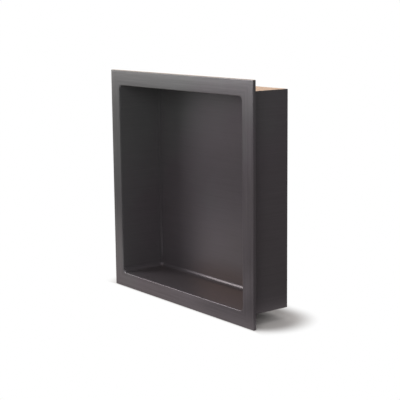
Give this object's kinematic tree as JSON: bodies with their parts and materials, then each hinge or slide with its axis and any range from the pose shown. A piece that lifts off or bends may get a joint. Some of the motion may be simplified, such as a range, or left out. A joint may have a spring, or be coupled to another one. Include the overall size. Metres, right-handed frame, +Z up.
{
  "type": "shower niche insert",
  "caption": "Square sheet-metal niche for a tiled shower wall: an open-fronted box with rounded inside corners, a flat back and a narrow folded flange that covers the cut-out's edge",
  "frame": {"origin": "the middle of the flange's back, in the plane of the tiled wall", "axes": "X to the right seen from the room, Y into the wall, Z up"},
  "size_m": [0.332, 0.075, 0.332],
  "materials": {
    "gunmetal": "brushed stainless steel with a dark gunmetal coating"
  },
  "bodies": {
    "root": {"niche_insert": "gunmetal"}
  },
  "joints": []
}
